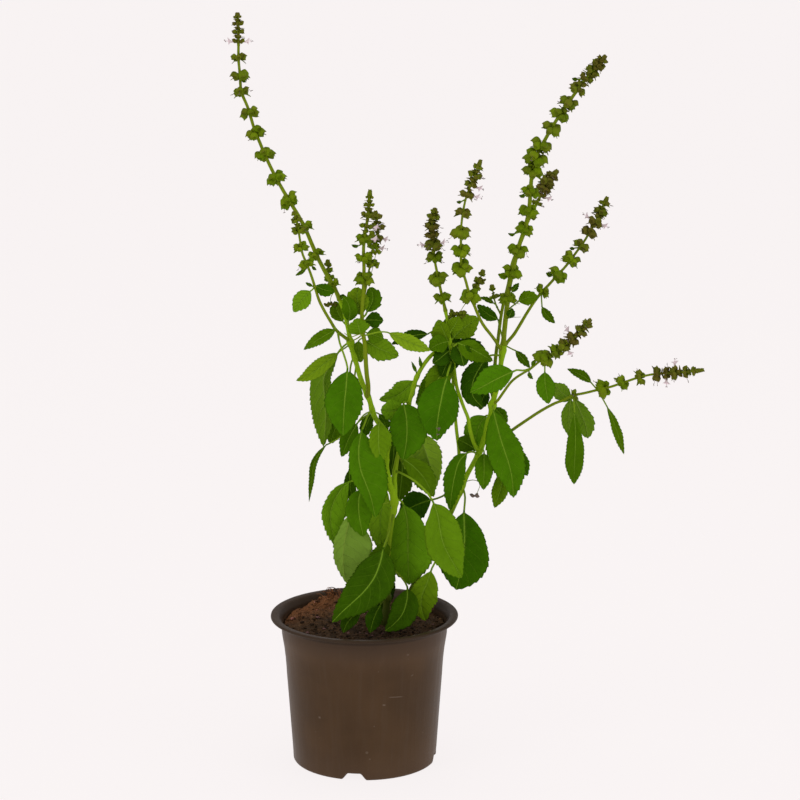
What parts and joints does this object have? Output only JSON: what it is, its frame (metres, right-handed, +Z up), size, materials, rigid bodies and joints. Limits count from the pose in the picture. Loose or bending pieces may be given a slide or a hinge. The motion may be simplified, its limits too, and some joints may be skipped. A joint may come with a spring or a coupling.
{
  "type": "potted herb plant",
  "caption": "Holy basil plant with tall whorled flower spikes and drooping green leaves, in a round brown plastic nursery pot with a turned-out rim.",
  "frame": {"origin": "centre of the pot's base, on the surface that the pot stands on", "axes": "+Z up, -Y the plant's front, +X to the right as seen from the front"},
  "size_m": [0.342, 0.14, 0.5547],
  "materials": {
    "pot_plastic": "dark brown thermoformed plastic with a soft satin sheen",
    "potting_soil": null,
    "stem": null,
    "leaf": null,
    "flower_spike": null
  },
  "bodies": {
    "root": {"pot": "pot_plastic", "potting_soil": "potting_soil", "stem_left": "stem", "stem_middle": "stem", "stem_right": "stem", "stem_thin": "stem", "flower_spike_left_tall": "flower_spike", "flower_spike_left_bud": "flower_spike", "flower_spike_left_side": "flower_spike", "flower_spike_centre": "flower_spike", "flower_spike_centre_small": "flower_spike", "flower_spike_middle": "flower_spike", "flower_spike_right_inner": "flower_spike", "flower_spike_right_inner_bud": "flower_spike", "flower_spike_right_tall": "flower_spike", "flower_spike_right_back": "flower_spike", "flower_shoot_right": "flower_spike", "flower_spike_right_outer": "flower_spike", "flower_spike_right_low": "flower_spike", "flower_spike_far_right": "flower_spike", "leaf_left_front": "leaf", "leaf_left_pale": "leaf", "leaf_left_outer": "leaf", "leaf_left_upper": "leaf", "leaf_left_low_front": "leaf", "leaf_left_low_outer": "leaf", "leaf_left_low_pale": "leaf", "leaf_left_low_inner": "leaf", "leaf_left_low_small": "leaf", "leaf_base_left_front": "leaf", "leaf_base_left_shade": "leaf", "leaf_base_centre": "leaf", "leaf_base_right": "leaf", "leaf_centre_low": "leaf", "leaf_centre_low_pale": "leaf", "leaf_centre_shade": "leaf", "leaf_centre_pale": "leaf", "leaf_centre_front": "leaf", "leaf_centre_small": "leaf", "leaf_middle_front": "leaf", "leaf_right_of_middle": "leaf", "leaf_right_small": "leaf", "leaf_right_front": "leaf", "leaf_right_outer": "leaf", "leaf_right_shade": "leaf", "leaf_right_behind": "leaf", "leaf_right_low_large": "leaf", "leaf_right_upper": "leaf", "leaf_far_right_upper": "leaf", "leaf_far_right_front": "leaf", "leaf_middle_top": "leaf", "leaf_middle_right": "leaf", "leaf_inner_pale": "leaf", "leaf_inner_right": "leaf", "leaf_inner_dark": "leaf", "leaf_back_left_low": "leaf", "leaf_back_right": "leaf", "leaf_back_right_low": "leaf", "leaf_back_middle": "leaf", "leaf_back_left": "leaf"}
  },
  "joints": []
}
